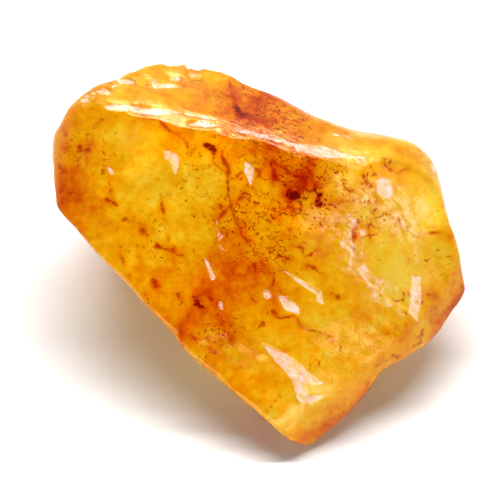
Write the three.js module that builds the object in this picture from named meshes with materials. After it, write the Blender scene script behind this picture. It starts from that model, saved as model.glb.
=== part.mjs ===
// A rough yellow sapphire: one water-worn lump of corundum, 46 mm long, broken by broad flat facets, a stepped
// ledge and shell-shaped chips. It lies on a flat parting face, so its broad face leans back.
// Units are millimetres and +Z is up. The origin is on the resting face, under the middle of the lump's box.
import * as THREE from "three";
import { mergeVertices } from "three/addons/utils/BufferGeometryUtils.js";

// Most places are given on the broad face: u along the lump, v up the face and w out of it, from the lump's middle.
const FACE_LEAN = THREE.MathUtils.degToRad(35); // between the broad face and the level
const REST_DEPTH = 11.5; // of the resting face, straight down from the lump's middle
const ROUNDING = 0.55; // over which two facets melt into each other
const CHIP_ROUNDING = 0.22; // the same for the younger, sharper breaks
const MESH_DETAIL = 20; // 20 * (detail + 1)^2 triangles
const RELAX_ROUNDS = 14;

const SAPPHIRE = new THREE.MeshStandardMaterial({ color: 0xf0a010, roughness: 0.2, metalness: 0 });

// The girdle is the lump's outline seen square to the broad face. It is a smooth closed curve through these points.
const GIRDLE = [
  [-23.1, 12.3], [-23.1, 11.1], [-22.8, 8.9], [-22.6, 6.2], [-22.3, 4.5], [-20.1, 2.2], [-18.3, 0.0],
  [-16.0, -2.3], [-13.1, -5.6], [-9.9, -9.0], [-7.6, -11.8], [-4.5, -14.5], [-1.8, -16.8], [0.9, -19.0],
  [3.6, -21.2], [5.2, -21.8], [6.6, -21.2], [9.3, -19.0], [11.3, -16.8], [12.3, -15.7], [13.0, -14.5],
  [13.9, -13.4], [15.6, -12.3], [17.4, -11.2], [19.3, -10.1], [21.2, -7.8], [22.6, -5.6], [23.1, -4.4],
  [22.9, -3.4], [22.4, -1.1], [21.9, 1.0], [21.3, 3.3], [20.7, 5.6], [19.5, 8.9], [18.0, 11.3], [16.8, 12.3],
  [13.6, 13.0], [11.3, 13.4], [6.9, 14.8], [2.4, 16.8], [-2.1, 18.7], [-6.5, 20.3], [-9.9, 20.6],
  [-13.2, 20.2], [-15.5, 19.5], [-18.2, 18.2], [-21.0, 16.1], [-22.2, 14.5],
];
const GIRDLE_SLOTS = 1440;
const GIRDLE_POINTS_PER_SLOT = 8;
const GIRDLE_DEPTH = { middle: 1.6, perU: -0.097, perV: -0.099 }; // the girdle is itself a leaning plane
const SWELL = { front: 9, back: 25, power: 3.4 }; // how far the lump reaches before and behind its girdle
const FIELD_SCALE = 18; // turns the lump's relative radius into millimetres

// Facets of the face side: a point that the plane passes through and the way that it faces, in u, v, w.
const FACE_FACETS = [
  { at: [-6, 3, 7.2], facing: [-0.04, 0.02, 1] }, // broad face
  { at: [2, -12, 6.9], facing: [-0.03, -0.13, 1] }, // its lower third
  { at: [9, -11, 6.3], facing: [0.26, -0.2, 0.945] }, // low face under the ledge
  { at: [4.6, -17.3, 6.25], facing: [0.21, -0.455, 0.87] }, // tip
  { at: [-14.5, 8, 6.9], facing: [-0.3, 0.05, 0.95] }, // left shoulder
  { at: [-20.5, 9, 6.1], facing: [-0.72, 0.14, 0.68] }, // left end
  { at: [-12.5, 15.3, 7.05], facing: [0.088, 0.735, 0.67] }, // upper bevel, left
  { at: [-18.5, 15.6, 6.0], facing: [-0.36, 0.66, 0.66] }, // upper bevel, round the corner
  { at: [4.2, 11.8, 7.0], facing: [0.12, 0.7, 0.7] }, // upper bevel, right
  { at: [-10, 15.1, 6.55], facing: [0.06, 0.42, 0.9] }, // worn ridge, left
  { at: [4.2, 11.2, 7.2], facing: [0.04, 0.4, 0.915] }, // worn ridge, right
  { at: [17, 10, 4.8], facing: [0.62, 0.52, 0.58] }, // right end, upper corner
  { at: [20.3, -3, 3.2], facing: [0.7, -0.26, 0.66] }, // right end, lower corner
  { at: [8.7, -19, 2.7], facing: [0.5, -0.54, 0.67] }, // lower bevel, left
  { at: [19.3, -10.1, 0.8], facing: [0.72, -0.65, 0.25] }, // lower bevel, right
];

// Sides of the hidden half: each follows the girdle from one place to another and leans in beneath it.
const SIDES = [
  { from: [3.6, -21.2], to: [-7.6, -11.8], under: 11 }, // lower left, by the tip
  { from: [-7.6, -11.8], to: [-20.1, 2.2], under: 6 }, // lower left
  { from: [-22.3, 4.5], to: [-23.1, 12.3], under: 16 }, // left end
  { from: [-22.2, 14.5], to: [-15.5, 19.5], under: 27 }, // back left corner
  { from: [-13.2, 20.3], to: [-6.5, 20.5], under: 21 }, // back, left
  { from: [-6.5, 20.3], to: [6.9, 14.8], under: 26 }, // back
  { from: [6.9, 14.8], to: [16.8, 12.3], under: 37 }, // back, right
  { from: [16.8, 12.3], to: [19.5, 8.9], under: 20 }, // back right corner
  { from: [20.7, 5.6], to: [23.1, -4.4], under: 13 }, // right end
  { from: [22.6, -5.6], to: [19.3, -10.1], under: 15 }, // lower right corner
  { from: [19.3, -10.1], to: [7.5, -20.5], under: 7 }, // lower right
];
const SIDE_SLACK = 0.2; // that a side keeps outside the girdle

// Facets between the sides and the resting face, in the resting frame: x along, y back and z up from the middle.
const LOW_FACETS = [
  { at: [-12, -9, -9], facing: [-0.55, -0.45, -0.7] },
  { at: [-17, 3, -8], facing: [-0.8, 0.1, -0.6] },
  { at: [-8, 17, -6], facing: [-0.3, 0.85, -0.42] },
  { at: [9, 14.5, -8], facing: [0.3, 0.75, -0.55] },
  { at: [18, 3, -7.5], facing: [0.8, 0.25, -0.55] },
  { at: [15.5, -8, -9], facing: [0.6, -0.35, -0.7] },
];

// Breaks that leave an inner corner: the stone has lost what lies outside every one of these planes at once.
const BREAKS = [
  [ // ledge between the broad face and the right end
    { at: [10.5, 3.6, 7.75], facing: [0.42, -0.05, 0.9] },
    { at: [10.5, 1.1, 7.3], facing: [0.92, 0.02, 0.38] },
    { at: [12.7, -4.5, 6.5], facing: [0.64, 0.65, 0.4] },
  ],
  [ // three-cornered flake above the tip
    { at: [3.7, -14, 6.42], facing: [0.04, -0.05, 1] },
    { at: [3.7, -12.3, 6.4], facing: [-0.47, -0.81, 0.35] },
    { at: [2.4, -13.6, 6.4], facing: [0.76, 0.54, 0.35] },
    { at: [6.1, -15.8, 6.4], facing: [-0.67, 0.65, 0.35] },
  ],
];

// Wide shell-shaped breaks, spread evenly over the hidden side: a ball of this radius, sunk this far below the
// surface. The sizes run from the first to the second value.
const CHIPS = { count: 46, highest: -0.34, radius: [12, 26], depth: [0.35, 0.85] };
const SHUFFLE = { radius: 0.618, depth: 0.755 }; // steps that mix large and small

// The worn skin rises and falls in crossing waves. Their height is a share of their length.
const WAVES = { count: 10, longest: 13, shortest: 3.6, height: 0.006 };
const WANDER = 3.5; // how many times as far the outlines of the breaks stray sideways
const GOLDEN_ANGLE = Math.PI * (3 - Math.sqrt(5));

const smoothMax = (a, b, k) => {
  const h = Math.max(k - Math.abs(a - b), 0) / k;
  return Math.max(a, b) + (h * h * k) / 4;
};

const UP_THE_FACE = new THREE.Vector3(1, 0, 0);
const toFace = (v) => v.clone().applyAxisAngle(UP_THE_FACE, -FACE_LEAN);
const girdleDepth = (u, v) => GIRDLE_DEPTH.middle + GIRDLE_DEPTH.perU * u + GIRDLE_DEPTH.perV * v;

const planeThrough = ({ at, facing }, turn = (v) => v) => {
  const normal = turn(new THREE.Vector3(...facing).normalize());
  return new THREE.Plane().setFromNormalAndCoplanarPoint(normal, turn(new THREE.Vector3(...at)));
};

const sidePlane = ({ from, to, under }) => {
  const [u, v] = [(from[0] + to[0]) / 2, (from[1] + to[1]) / 2];
  const out = new THREE.Vector3(to[1] - from[1], from[0] - to[0], 0).normalize();
  if (out.x * u + out.y * v < 0) out.negate();
  const lean = THREE.MathUtils.degToRad(under);
  const normal = out.multiplyScalar(Math.cos(lean)).setZ(-Math.sin(lean));
  const plane = new THREE.Plane().setFromNormalAndCoplanarPoint(normal, new THREE.Vector3(u, v, girdleDepth(u, v)));
  plane.constant -= SIDE_SLACK;
  return plane;
};

const facets = [
  ...FACE_FACETS.map((f) => planeThrough(f)),
  ...SIDES.map(sidePlane),
  ...LOW_FACETS.map((f) => planeThrough(f, toFace)),
];
const breaks = BREAKS.map((planes) => planes.map((f) => planeThrough(f)));
const restingFace = planeThrough({ at: [0, 0, -REST_DEPTH], facing: [0, 0, -1] }, toFace);

// The girdle's distance from the middle, by angle.
const turnTo = (u, v) => (Math.atan2(v, u) / (2 * Math.PI) + 1) % 1;
const girdle = new THREE.CatmullRomCurve3(GIRDLE.map(([u, v]) => new THREE.Vector3(u, v, 0)), true, "centripetal");
const girdleRadii = new Float64Array(GIRDLE_SLOTS);
for (const p of girdle.getPoints(GIRDLE_SLOTS * GIRDLE_POINTS_PER_SLOT)) {
  girdleRadii[Math.floor(turnTo(p.x, p.y) * GIRDLE_SLOTS)] = Math.hypot(p.x, p.y);
}

function girdleRadius(u, v) {
  const turn = turnTo(u, v) * GIRDLE_SLOTS;
  const [slot, past] = [Math.floor(turn), turn % 1];
  return THREE.MathUtils.lerp(girdleRadii[slot % GIRDLE_SLOTS], girdleRadii[(slot + 1) % GIRDLE_SLOTS], past);
}

// The rounded lump before it was broken, below 0 inside.
function lump(p) {
  const depth = p.z - girdleDepth(p.x, p.y);
  const swell = depth > 0 ? SWELL.front : SWELL.back;
  const across = Math.hypot(p.x, p.y) / girdleRadius(p.x, p.y);
  const size = across ** SWELL.power + Math.abs(depth / swell) ** SWELL.power;
  return (size ** (1 / SWELL.power) - 1) * FIELD_SCALE;
}

// Directions spread evenly over a ball, from top to bottom.
const spread = (i, count) => {
  const z = 1 - (2 * i + 1) / count;
  const across = Math.sqrt(1 - z * z);
  return new THREE.Vector3(across * Math.cos(i * GOLDEN_ANGLE), across * Math.sin(i * GOLDEN_ANGLE), z);
};
const mixed = (range, i, step) => THREE.MathUtils.lerp(...range, ((i + 1) * step) % 1);

const waves = Array.from({ length: WAVES.count }, (_, i) => {
  const length = WAVES.longest * (WAVES.shortest / WAVES.longest) ** (i / (WAVES.count - 1));
  return { length, way: spread(i, WAVES.count), phase: i * i };
});
function skin(p) {
  let height = 0;
  for (const { length, way, phase } of waves) {
    height += WAVES.height * length * Math.sin((2 * Math.PI * p.dot(way)) / length + phase);
  }
  return height;
}

// Below 0 inside the stone before pieces broke off its facets.
function facetedField(p) {
  let field = lump(p);
  for (const plane of facets) field = smoothMax(field, plane.distanceToPoint(p), ROUNDING);
  return field + skin(p);
}

// The furthest that a body reaches from its middle in a direction.
const MOST_REACH = 40;
const HALVINGS = 32; // of the span in which the surface is looked for
function reach(field, direction) {
  let [inside, outside] = [0, MOST_REACH];
  const p = new THREE.Vector3();
  for (let i = 0; i < HALVINGS; i++) {
    const middle = (inside + outside) / 2;
    if (field(p.copy(direction).multiplyScalar(middle)) < 0) inside = middle;
    else outside = middle;
  }
  return inside;
}

const chips = [];
for (let i = 0; i < CHIPS.count; i++) {
  const way = spread(i, CHIPS.count);
  if (way.z > CHIPS.highest) continue;
  const [radius, depth] = [mixed(CHIPS.radius, i, SHUFFLE.radius), mixed(CHIPS.depth, i, SHUFFLE.depth)];
  chips.push(new THREE.Sphere(way.clone().multiplyScalar(reach(facetedField, way) + radius - depth), radius));
}

// Below 0 inside the finished stone.
function stoneField(p) {
  let field = facetedField(p);
  const [alongStray, upStray] = [new THREE.Vector3(p.y, p.z, p.x), new THREE.Vector3(p.z, p.x, p.y)].map(skin);
  const strayed = new THREE.Vector3(alongStray, upStray, 0).multiplyScalar(WANDER).add(p);
  for (const planes of breaks) {
    const removed = Math.min(...planes.map((plane) => plane.distanceToPoint(strayed)));
    field = smoothMax(field, removed, CHIP_ROUNDING);
  }
  for (const chip of chips) field = smoothMax(field, -chip.distanceToPoint(strayed), CHIP_ROUNDING);
  return smoothMax(field, restingFace.distanceToPoint(p), ROUNDING);
}

// A ball of even triangles drawn in to the stone's surface, then moved about until they are even again.
function stoneGeometry() {
  const ball = new THREE.IcosahedronGeometry(1, MESH_DETAIL);
  ball.deleteAttribute("normal");
  ball.deleteAttribute("uv");
  const geometry = mergeVertices(ball);
  const place = geometry.getAttribute("position");
  const points = Array.from({ length: place.count }, (_, i) => new THREE.Vector3().fromBufferAttribute(place, i));
  const drawIn = (p) => p.normalize().multiplyScalar(reach(stoneField, p));
  points.forEach(drawIn);

  const neighbours = points.map(() => new Set());
  const corners = geometry.index.array;
  for (let i = 0; i < corners.length; i += 3) {
    for (const [a, b] of [[0, 1], [1, 2], [2, 0]]) {
      neighbours[corners[i + a]].add(corners[i + b]);
      neighbours[corners[i + b]].add(corners[i + a]);
    }
  }
  for (let round = 0; round < RELAX_ROUNDS; round++) {
    const moved = neighbours.map((ring) => {
      const mean = new THREE.Vector3();
      for (const n of ring) mean.add(points[n]);
      return mean.divideScalar(ring.size);
    });
    moved.forEach((p, i) => points[i].copy(drawIn(p)));
  }
  points.forEach((p, i) => place.setXYZ(i, p.x, p.y, p.z));
  geometry.computeVertexNormals();
  return geometry;
}

const sapphire = new THREE.Mesh(stoneGeometry(), SAPPHIRE);
sapphire.name = "rough_sapphire";
sapphire.rotation.x = FACE_LEAN;

const model = new THREE.Group();
model.add(sapphire);
model.updateMatrixWorld(true);
const box = new THREE.Box3().setFromObject(sapphire, true);
const middle = box.getCenter(new THREE.Vector3());
sapphire.position.set(-middle.x, -middle.y, -box.min.z);

export default model;
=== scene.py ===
import math

import bpy
import numpy as np
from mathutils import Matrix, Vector, noise


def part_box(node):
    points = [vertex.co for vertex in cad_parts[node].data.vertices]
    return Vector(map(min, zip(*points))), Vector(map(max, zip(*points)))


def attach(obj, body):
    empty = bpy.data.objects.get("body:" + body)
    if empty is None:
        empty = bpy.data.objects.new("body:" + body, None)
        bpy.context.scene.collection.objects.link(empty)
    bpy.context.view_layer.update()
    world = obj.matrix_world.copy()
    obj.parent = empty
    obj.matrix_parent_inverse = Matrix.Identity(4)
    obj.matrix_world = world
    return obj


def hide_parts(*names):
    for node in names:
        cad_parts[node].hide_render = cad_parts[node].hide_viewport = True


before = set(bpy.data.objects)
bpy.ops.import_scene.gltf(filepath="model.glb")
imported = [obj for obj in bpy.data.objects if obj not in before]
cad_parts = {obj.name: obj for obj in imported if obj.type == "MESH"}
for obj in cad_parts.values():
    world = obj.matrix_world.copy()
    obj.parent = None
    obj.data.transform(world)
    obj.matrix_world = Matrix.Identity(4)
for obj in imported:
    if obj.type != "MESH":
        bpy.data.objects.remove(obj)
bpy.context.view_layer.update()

# The stone's shape, in millimetres. Most places are given on the broad face: u along the lump, v up the face and
# w out of it, from the lump's middle. As it rests, the face leans back by this much from lying flat.
FACE_LEAN = math.radians(35)
REST_DEPTH = 11.5
# How softly facets, breaks and flakes run into each other.
ROUNDING = 0.55
CHIP_ROUNDING = 0.12
FLAKE_ROUNDING = 0.06

# The outline of the broad face, counterclockwise from the left, and the depth w of that outline: at the middle, and
# how it changes along u and v.
GIRDLE = [
    (-23.1, 12.3), (-23.1, 11.1), (-22.8, 8.9), (-22.6, 6.2), (-22.3, 4.5), (-20.1, 2.2), (-18.3, 0.0),
    (-16.0, -2.3), (-13.1, -5.6), (-9.9, -9.0), (-7.6, -11.8), (-4.5, -14.5), (-1.8, -16.8), (0.9, -19.0),
    (3.6, -21.2), (5.2, -21.8), (6.6, -21.2), (9.3, -19.0), (11.3, -16.8), (12.3, -15.7), (13.0, -14.5),
    (13.9, -13.4), (15.6, -12.3), (17.4, -11.2), (19.3, -10.1), (21.2, -7.8), (22.6, -5.6), (23.1, -4.4),
    (22.9, -3.4), (22.4, -1.1), (21.9, 1.0), (21.3, 3.3), (20.7, 5.6), (19.5, 8.9), (18.0, 11.3), (16.8, 12.3),
    (13.6, 13.0), (11.3, 13.4), (6.9, 14.8), (2.4, 17.1), (-2.1, 19.2), (-6.5, 20.9), (-9.9, 20.9),
    (-13.2, 20.1), (-15.5, 19.2), (-18.2, 18.2), (-21.0, 16.1), (-22.2, 14.5),
]
GIRDLE_DEPTH = (1.6, -0.097, -0.099)
GIRDLE_SAMPLES = 5760
# The body that the facets are cut from: how far it swells in front of the girdle and behind it, how square it is,
# and the scale that makes its field read as millimetres.
SWELL_FRONT = 9
SWELL_BACK = 25
SWELL_POWER = 3.4
FIELD_SCALE = 18

# Each facet is a point that its plane passes through and the way that it faces.
FACE_FACETS = [
    ((-6, 3, 7.2), (-0.04, 0.02, 1)),
    ((2, -12, 6.9), (-0.03, -0.13, 1)),
    ((9, -11, 6.3), (0.26, -0.2, 0.945)),
    ((4.6, -17.3, 6.25), (0.21, -0.455, 0.87)),
    ((-14.5, 8, 6.9), (-0.3, 0.05, 0.95)),
    ((-20.5, 9, 6.1), (-0.72, 0.14, 0.68)),
    ((-12.5, 15.3, 7.05), (0.05, 0.735, 0.67)),
    ((-18.5, 15.6, 6.0), (-0.36, 0.66, 0.66)),
    ((4.2, 11.8, 7.0), (0.14, 0.69, 0.71)),
    ((-10, 15.1, 6.7), (0.06, 0.5, 0.86)),
    ((4.2, 11.2, 7.28), (0.04, 0.4, 0.915)),
    ((17, 10, 4.8), (0.62, 0.52, 0.58)),
    ((20.3, -3, 3.2), (0.7, -0.26, 0.66)),
    ((8.7, -19, 2.7), (0.5, -0.54, 0.67)),
    ((19.3, -10.1, 0.8), (0.72, -0.65, 0.25)),
]
# Sides of the hidden half: from one place on the girdle to another, and the degrees that they lean in beneath it.
SIDES = [
    ((3.6, -21.2), (-7.6, -11.8), 11),
    ((-7.6, -11.8), (-20.1, 2.2), 6),
    ((-22.3, 4.5), (-23.1, 12.3), 16),
    ((-22.2, 14.5), (-15.5, 19.5), 27),
    ((-13.2, 20.2), (-6.5, 21.3), 21),
    ((-6.5, 21.0), (6.9, 15.1), 26),
    ((6.9, 15.2), (16.8, 12.3), 39),
    ((16.8, 12.3), (19.5, 8.9), 20),
    ((20.7, 5.6), (23.1, -4.4), 13),
    ((22.6, -5.6), (19.3, -10.1), 15),
    ((19.3, -10.1), (7.5, -20.5), 7),
]
# How far outside the girdle they pass.
SIDE_SLACK = 0.2
# Low facets are in the resting frame: x along, y back and z up from the middle.
LOW_FACETS = [
    ((-12, -9, -9), (-0.55, -0.45, -0.7)),
    ((-17, 3, -8), (-0.8, 0.1, -0.6)),
    ((-8, 17, -6), (-0.3, 0.85, -0.42)),
    ((9, 14.5, -8), (0.3, 0.75, -0.55)),
    ((18, 3, -7.5), (0.8, 0.25, -0.55)),
    ((15.5, -8, -9), (0.6, -0.35, -0.7)),
]
# The stone has lost what lies outside every plane of a break at once.
BREAKS = [
    [((10.5, 3.6, 7.75), (0.42, -0.05, 0.9)), ((10.5, 1.1, 7.3), (0.92, 0.02, 0.38)),
     ((12.7, -4.5, 6.5), (0.64, 0.65, 0.4))],
]
# Shell-shaped breaks on the hidden half: balls of these radii, sunk this far below the surface. They are spread
# evenly round the stone, and those that look higher than the limit are left out.
CHIPS = {"count": 46, "highest": -0.34, "radius": (12, 26), "depth": (0.35, 0.85)}
# How far the radius and the depth jump within their spans from one break to the next.
SHUFFLE = {"radius": 0.618, "depth": 0.755}
# Sine waves from the longest to the shortest, their height a share of their length. The same waves, this many times
# as high, lead the edges of the breaks astray.
WAVES = {"count": 10, "longest": 13, "shortest": 3.6, "height": 0.006}
RIPPLES = {"count": 14, "longest": 3.2, "shortest": 0.9, "height": 0.0035}
WANDER = 3.5
GOLDEN_ANGLE = math.pi * (3 - math.sqrt(5))
# No part of the stone is farther from its middle, or stands higher over its broad face's middle plane.
FARTHEST = 40.0
FARTHEST_UP = 12.0
REACH_HALVINGS = 32

# Fresh flakes on the broad face: their corners in u, v, the way that they face, and how deep they go. Those that
# face about (0, 0.44, 0.9) show the strip light as a white glint. All of them are also painted pale pink, a painted
# reflection laid over the real chips.
FLAKES = [
    ([(0.2, -10.3), (3.1, -11.6), (7.2, -14.8), (5.8, -15.2), (3.4, -14.2), (1.3, -11.8)], (0.0, -0.07, 1), 0.12),
    ([(3.4, -14.0), (4.6, -14.4), (5.9, -16.5), (5.8, -17.2), (4.3, -16.8)], (0.02, -0.1, 1), 0.12),
    ([(5.0, -16.2), (7.5, -15.95), (7.4, -16.2), (5.8, -17.0)], (0.04, -0.14, 1), 0.1),
    ([(-10.6, 11.0), (-9.8, 11.0), (-9.8, 9.9), (-10.4, 9.9)], (0.0, 0.09, 1), 0.1),
    ([(-9.7, 10.7), (-8.7, 10.5), (-8.9, 8.9), (-9.3, 8.1), (-9.7, 9.4)], (-0.04, 0.08, 1), 0.12),
    ([(-16.8, 9.2), (-16.3, 9.1), (-15.8, 8.5), (-16.1, 8.1), (-16.6, 8.5)], (-0.22, 0.09, 1), 0.1),
    ([(-1.6, 9.9), (-0.5, 9.1), (-0.6, 7.8), (-0.9, 7.0), (-1.7, 8.7)], (0.0, 0.1, 1), 0.12),
    ([(-6.1, -0.7), (-5.5, -1.4), (-4.7, -3.1), (-5.3, -3.4), (-5.7, -2.3)], (0.03, 0.08, 1), 0.1),
    ([(-4.5, -5.7), (-4.0, -5.8), (-3.9, -6.7), (-4.4, -6.6)], (0.0, 0.07, 1), 0.08),
    ([(2.3, -1.9), (4.6, -3.3), (6.6, -4.4), (6.4, -5.0), (4.2, -3.7)], (0.03, 0.08, 1), 0.1),
    ([(6.3, -4.5), (6.9, -4.6), (7.2, -6.1), (6.3, -5.7)], (-0.02, 0.06, 1), 0.1),
    ([(0.4, -4.5), (1.1, -4.4), (1.5, -5.2), (0.8, -5.5), (0.4, -5.2)], (0.03, 0.1, 1), 0.1),
    ([(1.8, -4.9), (3.3, -5.3), (4.4, -6.3), (4.5, -7.2), (2.8, -6.6)], (0.0, 0.06, 1), 0.12),
    ([(12.8, 7.7), (13.6, 8.0), (14.7, 7.8), (14.8, 5.9), (13.9, 5.6), (13.0, 6.2)], (0.2, 0.04, 1), 0.12),
    ([(16.9, -2.8), (18.0, -2.9), (18.0, -5.6), (17.6, -8.0), (16.5, -7.0)], (0.5, 0.0, 1), 0.12),
    ([(-20.0, 16.8), (-18.9, 17.0), (-18.6, 16.5), (-19.6, 16.3)], (-0.1, 0.44, 0.9), 0.3),
    ([(-18.1, 17.8), (-16.1, 17.8), (-16.3, 17.2), (-17.6, 17.2)], (-0.03, 0.44, 0.9), 0.34),
    ([(-15.9, 19.1), (-13.7, 19.1), (-13.9, 18.5), (-15.6, 18.4)], (0.0, 0.44, 0.9), 0.36),
    ([(-12.4, 18.6), (-9.3, 18.6), (-8.9, 18.1), (-11.6, 17.9)], (0.0, 0.44, 0.9), 0.34),
    ([(-10.3, 19.4), (-8.7, 19.4), (-8.8, 18.8), (-10.1, 18.8)], (0.02, 0.44, 0.9), 0.38),
    ([(-8.1, 19.7), (-6.1, 19.8), (-6.3, 19.0), (-7.8, 18.9)], (0.03, 0.44, 0.9), 0.4),
    ([(-12.0, 19.2), (-11.5, 19.2), (-11.5, 18.9), (-12.0, 18.9)], (0.0, 0.44, 0.9), 0.16),
    ([(-17.6, 15.9), (-15.7, 16.2), (-14.2, 16.0), (-14.6, 15.4), (-16.6, 15.5)], (-0.2, 0.43, 0.88), 0.12),
    ([(-14.4, 16.0), (-9.7, 15.6), (-8.4, 15.2), (-10.1, 14.9), (-12.8, 14.9), (-14.5, 15.3)],
     (-0.03, 0.44, 0.9), 0.1),
    ([(-8.4, 15.3), (-5.6, 14.8), (-3.6, 14.3), (-5.8, 14.4), (-8.2, 14.9)], (0.02, 0.44, 0.9), 0.1),
    ([(-8.1, 14.0), (-6.5, 14.3), (-3.6, 13.8), (-5.4, 13.5), (-7.7, 13.7)], (0.02, 0.44, 0.9), 0.22),
    ([(-2.8, 13.4), (0.0, 12.9), (3.5, 11.9), (3.4, 11.5), (0.0, 12.4), (-2.6, 13.0)], (0.05, 0.39, 0.92), 0.08),
    ([(3.5, 11.8), (7.4, 11.4), (10.4, 10.4), (10.2, 10.0), (7.0, 10.2), (4.2, 10.9)], (0.05, 0.38, 0.92), 0.08),
]
# Small bites along the upper left outline, evenly from one place on it to another. They swing to both sides of the
# girdle by "lift", and look out of the stone by "out". Towards either end of the row they get shallower: the share of
# the depth that is left there, and how fast it grows from there.
NICKS = {
    "from": (-20.6, 15.6), "to": (-7.2, 20.3), "count": 19, "uneven": 0.5, "lift": 0.6, "out": 0.3,
    "radius": (0.45, 1.2), "depth": (0.12, 0.42), "fade_in": (0.3, 6), "fade_out": (0.05, 1.3),
}
# Shallow spalls over the hidden half, from "below" under the girdle. "stretch" is their width over their length, and
# each one's long way depends on another one's direction, by this step and start in their order.
SPALLS = {
    "count": 60, "highest": -0.12, "below": 1.0, "radius": (4, 9), "depth": (0.12, 0.34), "stretch": 0.35,
    "turns": (7, 11),
}

# What stains the broad face, in u, v. Each streak is half its width and the points that it runs through.
STREAKS = [
    (0.56, [(-2.5, 16.0), (-2.1, 15.4), (-1.7, 14.8)]), (0.15, [(-2.3, 16.0), (-2.7, 17.6), (-3.0, 19.0)]),
    (0.17, [(-1.7, 14.8), (-0.7, 14.7), (0.4, 14.4)]), (0.5, [(-5.8, 11.6), (-5.4, 11.3), (-5.2, 10.9)]),
    (0.14, [(-5.4, 10.8), (-5.2, 9.8), (-3.7, 8.7), (-3.0, 8.0), (-2.0, 8.0)]),
    (0.4, [(1.4, 9.7), (1.5, 8.6), (2.0, 7.3), (2.8, 6.5), (3.9, 6.0)]), (0.46, [(2.9, 6.4), (3.9, 5.9), (4.4, 6.1)]),
    (0.3, [(4.4, 6.1), (5.0, 6.7), (5.8, 6.9), (6.4, 7.3)]), (0.32, [(1.6, 9.6), (3.1, 8.9), (4.4, 8.1), (5.5, 7.3)]),
    (0.3, [(5.0, 8.9), (6.1, 8.0), (6.9, 7.2)]), (0.48, [(6.3, 6.9), (6.6, 6.0), (6.4, 5.2)]),
    (0.2, [(5.4, 9.9), (6.0, 9.4)]), (0.28, [(-21.7, 13.2), (-21.4, 12.7)]),
    (0.31, [(-19.7, 11.4), (-19.5, 11.0)]),
    (0.15, [(-17.7, 14.8), (-18.0, 13.8), (-18.3, 12.3), (-18.8, 11.5), (-19.5, 11.0)]),
    (0.12, [(-13.2, 15.2), (-12.2, 14.5)]),
    (0.13, [(-11.0, 14.4), (-9.9, 13.4), (-8.5, 12.3), (-7.9, 11.1), (-7.7, 10.5)]),
    (0.34, [(-16.5, 5.7), (-16.1, 5.1)]), (0.13, [(-16.6, 7.0), (-16.4, 6.0)]),
    (0.2, [(-14.8, 3.7), (-14.0, 3.2), (-13.5, 3.0)]), (0.22, [(-13.1, 1.8), (-12.2, 1.3)]),
    (0.34, [(-11.3, 0.9), (-10.7, 0.4)]), (0.14, [(-10.1, 0.2), (-9.0, -0.4), (-8.3, -0.8)]),
    (0.16, [(-10.7, 6.1), (-10.4, 4.7), (-10.1, 3.7), (-9.7, 2.8)]), (0.2, [(-11.8, -3.3), (-11.4, -4.0)]),
    (0.27, [(-9.0, -4.7), (-8.7, -5.2)]), (0.18, [(-15.5, -0.9), (-15.0, -1.4)]),
    (0.56, [(-6.8, -5.9), (-6.2, -6.4)]), (0.2, [(-6.9, -5.5), (-6.2, -5.0), (-5.4, -4.9), (-4.9, -5.3)]),
    (0.29, [(-7.4, -9.3), (-7.0, -9.6)]), (0.13, [(-8.2, -7.1), (-8.5, -8.6), (-8.4, -10.3)]),
    (0.2, [(-3.3, -9.7), (-3.1, -10.2)]), (0.18, [(-5.3, -10.7), (-5.1, -11.2)]),
    (0.18, [(-0.8, -5.5), (-0.6, -5.8)]), (0.25, [(2.6, -0.6), (3.0, -0.8)]),
    (0.12, [(3.7, 0.5), (4.6, 0.0), (5.2, -0.7), (6.0, -0.2), (6.6, 0.3)]),
    (0.22, [(-3.9, 11.1), (-3.5, 9.5), (-3.3, 8.4), (-3.3, 6.5), (-3.0, 5.0), (-2.7, 3.8), (-2.1, 2.0), (-1.6, 1.1)]),
    (0.12, [(-2.8, 4.8), (-4.1, 4.0), (-5.1, 3.1)]), (0.12, [(-2.7, 5.0), (-2.0, 5.7), (-1.3, 6.2)]),
    (0.12, [(13.6, 9.9), (14.5, 9.1), (15.5, 8.8), (16.4, 8.9)]), (0.12, [(11.4, 8.2), (12.0, 7.5), (12.5, 6.9)]),
    (0.12, [(14.1, 4.4), (15.0, 4.0), (15.9, 2.7), (17.1, 1.9)]),
    (0.12, [(17.7, 1.5), (18.6, 1.8), (19.7, 2.0), (20.8, 1.4), (21.6, 1.5)]),
    (0.1, [(7.1, 5.3), (9.1, 5.2), (11.1, 5.0), (12.9, 5.6)]), (0.1, [(13.8, 4.1), (14.7, 4.2), (14.9, 3.6)]),
    (0.15, [(10.7, 2.9), (10.8, 1.5), (10.4, 0.1)]),
    (0.12, [(1.5, -6.9), (3.3, -7.4), (4.5, -8.5), (6.0, -9.1), (8.0, -9.9)]),
    (0.16, [(18.7, -4.8), (19.5, -5.3)]), (0.13, [(9.6, 7.3), (10.2, 6.5)]), (0.16, [(-22.2, 9.5), (-21.6, 8.9)]),
    (0.18, [(0.6, -1.4), (1.1, -2.3), (1.5, -3.4)]), (0.16, [(-0.5, -1.8), (-0.7, -2.8)]),
    (0.16, [(8.0, -5.0), (8.7, -5.4)]), (0.13, [(5.0, -2.0), (7.1, -2.5)]),
]
# Streaks wider than this are dark blots as well.
BLOT_WIDTH = 0.4
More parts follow.
